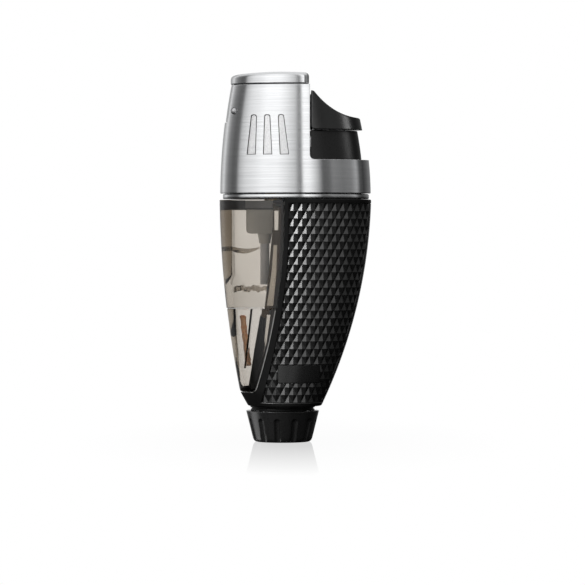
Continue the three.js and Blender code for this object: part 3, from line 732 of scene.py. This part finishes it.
def thumb_piece():
    """Thumb piece with a hollowed slope and soft edges."""
    z = low("thumb_trigger")
    left = BARREL_REAR + 0.3
    outline = [(left + 1.2, z), (19, z), (19, 86.3)]
    outline += bend([outline[-1], (17.6, 87.2), (16.6, 87.3)], 6)
    outline += bend([outline[-1], (12.2, 87.6), (8.2, 90.2), (5, 94.25)], 20)
    outline += [(left, 94.5), (left, z + 1.2)]
    outline += bend([outline[-1], (left, z), (left + 1.2, z)], 6)[:-1]
    thumb = prism(outline)
    carve(thumb, loft(head_oval, levels(z - 1, 95, 12, 0.6), 192), "INTERSECT")
    softened(thumb, 0.16, 5)
    ribs = [rib(side, BARREL_REAR - RIB_DEPTH, 5.7, z + 0.2, 93.5) for side in (-1, 1)]
    joined(thumb, *ribs)
    look = TRIGGER_BLACK
    return place(thumb, "thumb_piece_fine", "trigger", look, ["thumb_trigger"], 0)


def trigger_skirt():
    """Hollow skirt under the thumb piece, with its two guide ribs."""
    z0, z1 = low("trigger_skirt"), high("trigger_skirt")
    skirt = loft(head_oval, levels(z0, z1, 8, 2, 0.2), 192)
    carve(skirt, loft(head_oval, levels(z0 - 1, z1 - 1.2, 6, 3.2), 160))
    carve(skirt, block(BARREL_REAR + 0.3, 30, -20, 20, 60, 110), "INTERSECT")
    ribs = [rib(side, BARREL_REAR - RIB_DEPTH, 5, z0 + 0.3, z1 - 0.02) for side in (-1, 1)]
    joined(skirt, *ribs)
    look = SKIRT_BLACK
    return place(skirt, "trigger_skirt_fine", "trigger", look, ["trigger_skirt"], 30)


# ------------------------------------------------------------------ grip


def grip_housing():
    """Black moulding: the smooth border round the rubber, and the dark wedge behind the tank."""
    grip = loft(body_oval, levels(BODY_BOTTOM, BODY_TOP, 40, 0, 0.35), 200)
    carve(grip, prism(window_outline(0.15, 13.35)))
    sunk = loft(body_oval, levels(9, 66, 30, -1), 200)
    carve(sunk, loft(body_oval, levels(8, 67, 30, PANEL_BED), 200))
    carve(sunk, prism(panel_outline(0.06)), "INTERSECT")
    carve(grip, sunk)
    wedge = [(-12.1, 15.4), (-10.75, 25.2), (-9.25, 34.2), (-7.9, 33.4)]
    wedge += [(-8.3, 25.2), (-10.4, 14.6), (-11.4, 14.2)]
    inlay = cavity(wedge, 13, 37, 1.0, 16)
    hollow = loft(body_oval, levels(14, 70, 20, 2.4), 160)
    neck = grip_neck()
    carve(grip, carve(hollow, block(-1, 30, -20, 20, 10, 71), "INTERSECT"))
    grip = joined(grip, neck, inlay)
    place(grip, "grip_housing_fine", "body", BLACK, ["grip_housing"], 30)
    return oval_normals(grip, body_oval, (0.0, PANEL_BED))


def grip_neck():
    """Grooved neck that the wheel turns on."""
    profile = [(8.3, 3.2), (8.3, 8.5), (8.6, 8.55), (8.6, 8.85)]
    profile += [(8.3, 8.95), (8.3, 9.15), (8.7, 9.3), (8.7, 9.9)]
    neck = turned(profile, WHEEL_X, 96)
    carve(neck, turned([(5.4, 2), (5.4, 8.5)], WHEEL_X))
    return carve(neck, turned([(8.4, 2), (8.4, 8.52), (6.4, 8.53), (6.4, 2)], WHEEL_X, closed=True))


def grip_lip():
    """Fine rounded lip under the rubber panel."""
    bead = [(10.35, 0.3), (10.4, 0.08), (10.5, -0.02), (10.62, -0.06), (10.74, -0.02)]
    bead += [(10.82, 0.08), (10.86, 0.3)]
    lip = loft(body_oval, bead, 200, ring=True)
    carve(lip, block(-9.3, 30, -20, 20, 9, 12), "INTERSECT")
    return place(lip, "grip_lip", "body", WHEEL_BLACK, [], 60)


def knurl_angles(z):
    """Angles evenly spaced along the body's oval for a row of the knurl, and which lie past the rear."""
    m, a, b = axes(body_oval, z)
    fine = np.linspace(0, math.pi, 1500)
    strides = np.hypot(np.diff(a * np.cos(fine)), np.diff(b * np.sin(fine)))
    run = np.concatenate([[0], np.cumsum(strides)])
    start = np.interp(math.acos((KNURL_FROM - m) / a), fine, run)
    first, last = KNURL_COLUMNS
    want = start + np.arange(first, last + 1)[::-1] * -KNURL_WIDTH / 2
    return np.interp(np.clip(want, 0, run[-1]), run, fine), want < 0


def knurl():
    """Rubber skin of staggered pyramids, each four facets on a diamond base, with a smooth inner face."""
    step = (PANEL_HIGH - PANEL_LOW) / KNURL_ROWS
    outer, inner = [], []
    for row in range(-1, KNURL_ROWS + 2):
        z = PANEL_LOW + row * step
        m, a, b = axes(body_oval, z)
        near = []
        for k, (angle, past) in enumerate(zip(*knurl_angles(z))):
            tip = (k + row) % 2 == 0 and not past
            near.append((angle, KNURL_TIP if tip else KNURL_DEPTH))
        both = near[::-1] + [(-angle, inset) for angle, inset in near]
        for points, insets in ((outer, [i for angle, i in both]), (inner, [RUBBER_THICK] * len(both))):
            for (angle, _), inset in zip(both, insets):
                points.append((m + (a - inset) * math.cos(angle), -(b - inset) * math.sin(angle), z))
    return solid(outer + inner, knurl_faces(KNURL_ROWS + 3, len(both)))


def knurl_faces(rows, columns):
    """Facets of the outer face, quads of the inner face behind it, and the strips that close the edges."""
    behind = rows * columns
    half = columns // 2
    faces = []
    for r in range(rows - 1):
        for c in range(columns - 1):
            p, q = r * columns + c, r * columns + c + 1
            s, t = q + columns, p + columns
            k = half - 1 - c if c < half else c - half
            if (k + r - 1) % 2 == 0:
                faces += [(p, q, t), (q, s, t)]
            else:
                faces += [(p, q, s), (p, s, t)]
            faces.append((behind + p, behind + t, behind + s, behind + q))
    edges = [(r * columns + c, (r + 1) * columns + c) for r in range(rows - 1) for c in (0, columns - 1)]
    edges += [(r * columns + c, r * columns + c + 1) for r in (0, rows - 1) for c in range(columns - 1)]
    return faces + [(p, q, behind + q, behind + p) for p, q in edges]


def rear_strip():
    """Smooth strip down the rear of the rubber, with rounded long edges."""
    edge = [(-SPINE, RUBBER_THICK), (-SPINE, 0.3), (-SPINE + 0.08, 0.1), (-SPINE + 0.3, 0.0)]
    section = edge + [(y, 0.0) for y in np.linspace(-1.5, 1.5, 9)]
    section += [(-y, depth) for y, depth in edge[::-1]]
    rows = []
    for z, inset in levels(PANEL_LOW, PANEL_HIGH, 30, 0, 0.2):
        m, a, b = axes(body_oval, z)
        row = []
        for y, depth in section:
            row.append((m + (a - max(depth, inset)) * math.sqrt(1 - (y / b) ** 2), y, z))
        rows.append(row)
    return stacked(rows)


def rubber_grip():
    """Knurled skin with the blank plaque on both sides and the smooth strip down the rear."""
    skin = knurl()
    carve(skin, prism(panel_outline()), "INTERSECT")
    x0, x1, z0, z1 = PLAQUE
    carve(skin, block(x0, x1, -20, 20, z0, z1))
    carve(skin, block(6, 30, -SPINE, SPINE, 0, 70))
    plate = loft(body_oval, levels(z0 + 0.1, z1 - 0.1, 8, 0.42, 0.12), 200)
    carve(plate, loft(body_oval, levels(z0 - 1, z1 + 1, 4, RUBBER_THICK), 160))
    carve(plate, block(x0 + 0.1, x1 - 0.1, -20, 20, z0 - 1, z1 + 1), "INTERSECT")
    skin = joined(skin, plate, rear_strip())
    return place(skin, "rubber_grip_fine", "body", RUBBER, ["rubber_grip"], 8)


# ------------------------------------------------------------------ tank


def tank_block(z0, z1, inset, low_z, edge):
    """A tank moulding as it shows in the window. It runs a little way into the grip beside it."""
    tank = loft(body_oval, levels(z0, z1, 24, inset, edge), 200)
    return carve(tank, prism(window_outline(0.4, low_z)), "INTERSECT")


def cavity(outline, z0, z1, wall, steps=20):
    """Flat-sided form that keeps a wall's thickness away from the tank's near and far sides."""
    return carve(prism(outline), loft(body_oval, levels(z0, z1, steps, wall), 160), "INTERSECT")


def tank_upper():
    """Upper clear moulding: a large hollow and two narrow pockets behind it."""
    tank = tank_block(WELD_LINE + 0.05, BODY_TOP - 0.1, 0, 13.35, 0.12)
    hollow = [(-17.6, WELD_LINE - 1), (-8.2, WELD_LINE - 1), (-6.95, 46), (-6.5, 52), (-5.9, 58)]
    hollow += [(-5.8, 66), (-16.6, 66), (-16.5, 60), (-16.4, 45), (-17.6, 42)]
    carve(tank, cavity(hollow, WELD_LINE - 2, 67, UPPER_WALL))
    upper_pocket = [(-5.5, 62.2), (-5.45, 57), (-4.5, 57), (-4.4, 62.2)]
    carve(tank, cavity(upper_pocket, 56, 64, 2.2))
    lower_pocket = [(-7.3, 36.8), (-5.7, 36.8), (-4.9, 46), (-4.7, 53), (-5.6, 53), (-6.1, 46)]
    carve(tank, cavity(lower_pocket, 36, 55, 4.0))
    place(tank, "tank_upper_fine", "body", CLEAR, ["fuel_tank"], 30)
    return oval_normals(tank, body_oval, (0.0, UPPER_WALL))


def tank_lower():
    """Lower clear moulding: a hollow with a slanting web across it, and a pocket behind it."""
    tank = tank_block(13.6, WELD_LINE - 0.05, 0.12, 13.6, 0.2)
    outline = [(-13.9, 16.0), (-13.3, 15.2), (-12.1, 15.4), (-10.5, 25.2), (-8.9, 34.5)]
    outline += [(-8.7, WELD_LINE + 2), (-15.7, WELD_LINE + 2), (-15.2, 28)]
    hollow = cavity(outline, 14, WELD_LINE + 3, LOWER_WALL)
    web = [(-13.3, 20), (-12.9, 20), (-10.9, WELD_LINE + 3), (-11.5, WELD_LINE + 3)]
    carve(hollow, prism(web))
    carve(tank, hollow)
    pocket = [(-7.4, 34.4), (-8.1, 27), (-9.4, 20), (-10.2, 16.4)]
    pocket += [(-9.9, 16.4), (-9.1, 20), (-7.5, 27), (-6.5, 34.4)]
    carve(tank, cavity(pocket, 15, WELD_LINE, 2.4))
    place(tank, "tank_lower_fine", "body", CLEAR, ["tank_base"], 30)
    return oval_normals(tank, body_oval, (0.12, LOWER_WALL))


def tank_plug():
    """Black plug in the top of the tank, and the thin seam that runs back from it."""
    z0, z1 = CAVITY_TOP - 0.3, BODY_TOP - 0.3
    plug = cavity([(-25, z0), (-13.2, z0), (-13.2, z1), (-25, z1)], CAVITY_TOP - 1, BODY_TOP, 1.2)
    seam = cavity([(-13.2, z0), (-5.95, z0), (-5.95, z0 + 0.4), (-13.2, z0 + 0.4)], z0 - 1, z1, 1.2)
    return place(joined(plug, seam), "tank_plug_fine", "body", INNER, ["tank_cap"], 30)


def tank_shoulder():
    """Grey step beside the plug, above the filter."""
    z0, z1 = CAVITY_TOP + 0.1, BODY_TOP - 0.4
    step = cavity([(-13.2, z0), (-5.95, z0), (-5.95, z1), (-13.2, z1)], CAVITY_TOP - 1, BODY_TOP, 1.2)
    return place(step, "tank_shoulder", "body", GREY, [], 30)


def valve_top():
    """Turned jet valve body, above the tank."""
    x = middle("valve_body")
    profile = [(1.25, 63.2), (2.6, 63.2), (2.7, 63.3), (2.7, 65.4), (3.4, 65.4), (3.5, 65.5), (3.5, 66.5)]
    profile += [(3.4, 66.6), (2.7, 66.6), (2.7, 69.8), (2.5, 70), (1.25, 70)]
    body = turned(profile, x, 48, closed=True)
    return place(body, "valve_body_fine", "body", BRASS, ["valve_body"], 35)


def rim_bead():
    """Rounded edge of the lower tank moulding, just proud of the grip beside it. Its light grey is a painted
    highlight along the window's edge.
    """
    radius = 0.19
    path = []
    for x, z in window_outline(0.02, 13.5)[1:-2]:
        m, a, b = axes(body_oval, z)
        y = b * math.sqrt(max(1 - ((x - m) / a) ** 2, 0))
        if y > 0.5 and z < WELD_LINE:
            path.append((x, y, z))
    beads = []
    for side in (-1, 1):
        rows = []
        for x, y, z in path:
            lean = math.atan2(0.35 * (x + 20), y)
            row = []
            for t in circle(12):
                aside, out = radius * math.cos(t), radius * math.sin(t)
                row.append((x + aside * math.cos(lean), side * (y - 0.1 + out), z + aside * math.sin(lean)))
            rows.append(row)
        beads.append(stacked(rows))
    return place(joined(*beads), "tank_rim_fine", "body", TANK_RIM_HIGHLIGHT, [], 60)


def wall_ring(outline, near, far):
    """Ring that hugs the tank's near and far walls, between two depths under the skin."""
    heights = [z for x, z in outline]
    ring = cavity(outline, min(heights) - 1, max(heights) + 1, near)
    return carve(ring, loft(body_oval, levels(min(heights) - 2, max(heights) + 2, 6, far), 160))


def fuel_line():
    """Edge of the fuel's surface, where it climbs the tank's walls."""
    outline = [(-16.6, 52.7)] + bend([(-16.6, 52.7), (-13, 51.5), (-9.4, 52.5)], 16)
    outline += [(-9.4, 52.2)] + bend([(-9.4, 52.2), (-13.5, 49.6), (-16.6, 51.6)], 16)
    return place(wall_ring(outline, 2.0, 4.6), "fuel_line", "body", CLEAR, [], 30)


def baffle():
    """Rough-edged cross wall in the tank."""
    z0, z1 = low("tank_baffle"), high("tank_baffle")
    across = np.linspace(-16.0, -7.2, 60)
    outline = [(x, z0 - 0.3 + 0.22 * math.sin(2.1 * x) + 0.12 * math.sin(5.3 * x)) for x in across]
    outline += [(x, z1 - 0.1 + 0.25 * math.sin(1.7 * x + 1) + 0.15 * math.sin(4.4 * x)) for x in across[::-1]]
    wall = wall_ring(outline, 2.0, 4.4)
    return place(wall, "tank_baffle_fine", "body", CLEAR, ["tank_baffle"], 30)


def wick():
    """Knotted sintered wick along the front wall."""
    z0, z1 = low("wick") + 2.5, high("wick")
    steps = 60
    rows = []
    for k in range(steps + 1):
        share = k / steps
        x, z = -12.5 - 1.6 * share, z0 + (z1 - z0) * share
        swell = 0.78 + 0.06 * math.sin(2.3 * z) + 0.05 * math.sin(5.1 * z + 1)
        if k in (0, steps):
            swell *= 0.7
        row = []
        for t in circle(28):
            r = swell * (1 + 0.05 * math.sin(3 * t + z))
            row.append((x + r * math.cos(t), r * math.sin(t), z))
        rows.append(row)
    return place(stacked(rows), "wick_fine", "body", WICK, ["wick"], 60)


def dip_tube():
    x = middle("dip_tube")
    z0, z1 = low("dip_tube"), high("dip_tube")
    profile = [(0.75, z0), (1.12, z0), (1.2, z0 + 0.1), (1.2, z1), (0.75, z1)]
    pipe = turned(profile, x, 40, closed=True)
    return place(pipe, "dip_tube_fine", "body", TUBE, ["dip_tube"], 40)


def valve_filter():
    """Rounded housing under the jet valve, with the boss that holds the dip tube."""
    boss_length = 2.7
    x0, z0, z1 = low("valve_filter", 0), low("valve_filter") + boss_length, high("valve_filter")
    half = high("valve_filter", 1)
    outline = [(x0, z1), (x0, z0 + 1.4)]
    outline += bend([outline[-1], (x0, z0), (x0 + 1.4, z0)], 8)
    outline += [(-6.0, z0), (-6.0, z1)]
    cup = prism(outline, -half, half)
    carve(cup, turned([(half, z0 - 1), (half, z1 + 1)], x0 + half), "INTERSECT")
    rest = outline[-2:] + [(x0 + half, z1), (x0 + half, z0)]
    profile = [(1.3, z0 - boss_length), (1.5, z0 - 2.6), (1.6, z0 - 1.6), (1.8, z0 - 0.7)]
    profile += [(2.0, z0 + 0.3), (1.3, z0 + 0.3)]
    boss = turned(profile, middle("dip_tube"), 48, closed=True)
    cup = joined(cup, prism(rest, -half, half), boss)
    return place(cup, "valve_filter_fine", "body", FILTER, ["valve_filter"], 35)


# ------------------------------------------------------------------ adjuster wheel


def wheel_radius(z):
    """Outside of the wheel: a rounded foot, then a straight flare."""
    corner = [(0.0, 6.95), (0.1, 7.35), (0.35, 7.65), (0.7, 7.88), (1.2, 8.05)]
    foot, narrow = corner[-1]
    wide = 9.84
    if z < foot:
        heights, radii = zip(*corner)
        return float(np.interp(z, heights, radii))
    return narrow + (wide - narrow) * (z - foot) / (WHEEL_TOP - foot)


def flute_cut(angle, z):
    """Radius left by the nearest flute at an angle, or infinity where it doesn't reach."""
    pitch = 2 * math.pi / FLUTES
    first = -0.159  # angle of the first flute
    round_from, radius = 5.6, 0.95  # the flutes' upper ends are rounded above this height
    off = (angle - first + pitch / 2) % pitch - pitch / 2
    if z > round_from:
        radius = math.sqrt(max(radius**2 - (z - round_from) ** 2, 0))
    centre = 8.35 + 0.2486 * (z - 1)  # leans out with the flare
    aside = centre * math.sin(off)
    if abs(aside) >= radius:
        return math.inf
    return centre * math.cos(off) - math.sqrt(radius**2 - aside**2)


def adjuster_wheel():
    """Fluted cup with the hub inside it, open below for the filling valve."""
    heights = [0, 0.03, 0.1, 0.2, 0.35, 0.5, 0.7, 0.95, 1.2]
    heights += list(np.linspace(1.5, 5.4, 14)) + list(np.linspace(5.6, 6.6, 14))
    heights += [7.0, 7.6, WHEEL_TOP - 0.2, WHEEL_TOP - 0.06]
    inside = [(9.7, WHEEL_TOP), (8.7, WHEEL_TOP), (8.65, WHEEL_TOP - 0.3), (7.9, WHEEL_TOP - 0.5)]
    inside += [(6.7, 1.9), (6.5, 1.8), (5.1, 1.8), (5.1, 5), (3.8, 5), (3.7, 4.9), (3.7, 0.2), (3.9, 0)]
    angles = circle(28 * FLUTES)
    rows = [[(min(wheel_radius(z), flute_cut(t, z)), t, z) for t in angles] for z in heights]
    rows += [[(r, t, z) for t in angles] for r, z in inside]
    rows = [[(WHEEL_X + r * math.cos(t), r * math.sin(t), z) for r, t, z in row] for row in rows]
    wheel = stacked(rows, ring=True)
    look = WHEEL_BLACK
    return place(wheel, "adjuster_wheel_fine", "adjuster", look, ["adjuster_wheel"], 34)


# ------------------------------------------------------------------ stage, light, camera


# Brightness by direction, in degrees: 0 is towards the camera, 90 is at the lighter's rear.
SOFT_BOXES = (
    (-180, 1.15), (-170, 1.15), (-166, 0.6), (-146, 0.4), (-120, 0.8), (-108, 0.42), (-96, 0.22),
    (-80, 0.12), (-71, 0.15), (-64, 0.62), (-54, 0.9), (-40, 1.1), (-30, 1.3), (-16, 1.3), (-9, 1.1),
    (0, 0.72), (3.5, 0.22), (5.5, 0.22), (7, 1.3), (12, 1.3), (19, 0.72), (25, 0.12), (32, 0.15),
    (36, 0.26), (50, 0.2), (64, 0.24), (76, 0.42), (86, 0.1), (100, 0.05), (166, 0.3),
    (170, 1.15), (180, 1.15),
)  # a ramp holds no more than these 32
BEHIND_CLEAR = (
    (-180, 1.15), (-160.2, 1.1), (-149.4, 0.3), (-90, 0.2), (0, 0.15), (144, 0.05), (153, 0.05), (162, 1.1),
)


def studio_world():
    """White for what is seen directly. What is reflected are soft boxes with dark gaps between them."""
    world = bpy.data.worlds.new("studio")
    bpy.context.scene.world = world
    n = Nodes(world, "ShaderNodeOutputWorld")
    ray = n.add("ShaderNodeLightPath").outputs
    way = n.add("ShaderNodeSeparateXYZ", {0: n.add("ShaderNodeTexCoord").outputs["Generated"]}).outputs
    nearer = n.add("ShaderNodeMath", {0: way["Y"], 1: -1}, operation="MULTIPLY").outputs[0]
    azimuth = n.add("ShaderNodeMath", {0: way["X"], 1: nearer}, operation="ARCTAN2").outputs[0]
    turn = n.ranged(azimuth, 0, 1, -math.pi, math.pi)
    rise = n.ranged(way["Z"], 0.04, 1.0, -0.26, 0.02, smooth=True)  # dark towards the floor
    boxes = n.mix(1, n.ramp(turn, SOFT_BOXES), rise, "MULTIPLY")
    ceiling = n.ranged(way["Z"], 0, 1, 0.45, 0.85, smooth=True)
    room = n.mix(ceiling, boxes, (0.8, 0.8, 0.8, 1))
    room = n.mix(ray["Is Transmission Ray"], room, n.ramp(turn, BEHIND_CLEAR))
    room = n.mix(ray["Is Camera Ray"], room, (1, 1, 1, 1))
    shown = n.add("ShaderNodeBackground", {"Color": room}).outputs[0]
    n.feed(n.output.inputs["Surface"], shown)


def floor():
    """White table with a faint mirror image that fades away from the lighter."""
    size = 2500  # far beyond the picture
    corners = [(-size, -size, 0), (size, -size, 0), (size, size, 0), (-size, size, 0)]
    table = solid(corners, [(0, 1, 2, 3)])
    n = material_nodes("white_table")
    white = n.add("ShaderNodeEmission", {"Color": (1, 1, 1, 1)}).outputs[0]
    mirror = n.add("ShaderNodeBsdfGlossy", {"Roughness": 0.04}).outputs[0]
    away = n.add("ShaderNodeVectorMath", {0: n.place_coordinates((2.2, 1, 1))}, operation="LENGTH")
    share = n.ranged(away.outputs["Value"], 0.33, 0.0, 0.02, 0.13)
    mixed = n.add("ShaderNodeMixShader", {0: share, 1: white, 2: mirror}).outputs[0]
    n.feed(n.output.inputs["Surface"], mixed)
    table.data.materials.append(n.owner)
    table.visible_diffuse = False
    table.visible_glossy = False
    table.visible_shadow = False
    table.name = "white_table"


# The brushed metal takes its stripes from the world alone, so the lamps reach only the pieces in a group.
GROUPS = {name: bpy.data.collections.new(name) for name in ("black_pieces", "glossy_pieces")}
AIM = Vector((0, 0, 0.05))
LAMPS = (  # name, width and height in metres, watts, place, group
    ("key_left", (0.5, 0.17), 6.5, (-0.69, -0.57, 0.5), "black_pieces"),
    ("rim_right", (0.25, 0.2), 0.38, (0.93, -0.3, 0.26), "glossy_pieces"),
    ("table_bounce", (0.5, 0.25), 0.6, (-0.75, 0.27, -0.34), "glossy_pieces"),
)


def lamp(name, size, power, location, group):
    """Soft box that lights only the pieces in a group."""
    data = bpy.data.lights.new(name, "AREA")
    data.shape = "RECTANGLE"
    data.size, data.size_y = size
    data.energy = power
    light = bpy.data.objects.new(name, data)
    light.location = location
    light.rotation_euler = (AIM - light.location).to_track_quat("-Z", "Y").to_euler()
    light.light_linking.receiver_collection = GROUPS[group]
    bpy.context.scene.collection.objects.link(light)


def lit(piece, *groups):
    for group in groups:
        GROUPS[group].objects.link(piece)


def camera():
    """Long lens, level, a little over half way up the lighter."""
    width = 158  # of the picture at the lighter, in millimetres
    eye_z, centre_z, centre_x = 52, 40.2, -0.76
    data = bpy.data.cameras.new("camera")
    data.lens = 195
    data.sensor_width = 36
    data.shift_y = (centre_z - eye_z) / width
    data.clip_end = 20
    eye = bpy.data.objects.new("camera", data)
    eye.location = (centre_x * MM, -width * MM * data.lens / data.sensor_width, eye_z * MM)
    eye.rotation_euler = (math.pi / 2, 0, 0)
    bpy.context.scene.collection.objects.link(eye)
    bpy.context.scene.camera = eye


camera()
studio_world()
floor()
bpy.context.scene.view_settings.view_transform = "Standard"
for settings in LAMPS:
    lamp(*settings)

paint_cad_nodes()
head_shell()
lid()
trim_ring()
hinge_pin()
lit(thumb_piece(), "black_pieces", "glossy_pieces")
lit(trigger_skirt(), "black_pieces", "glossy_pieces")
lit(grip_housing(), "black_pieces")
lit(grip_lip(), "black_pieces")
lit(rubber_grip(), "black_pieces")
tank_upper()
tank_lower()
tank_plug()
tank_shoulder()
rim_bead()
fuel_line()
baffle()
wick()
dip_tube()
valve_filter()
lit(adjuster_wheel(), "black_pieces", "glossy_pieces")
valve_top()
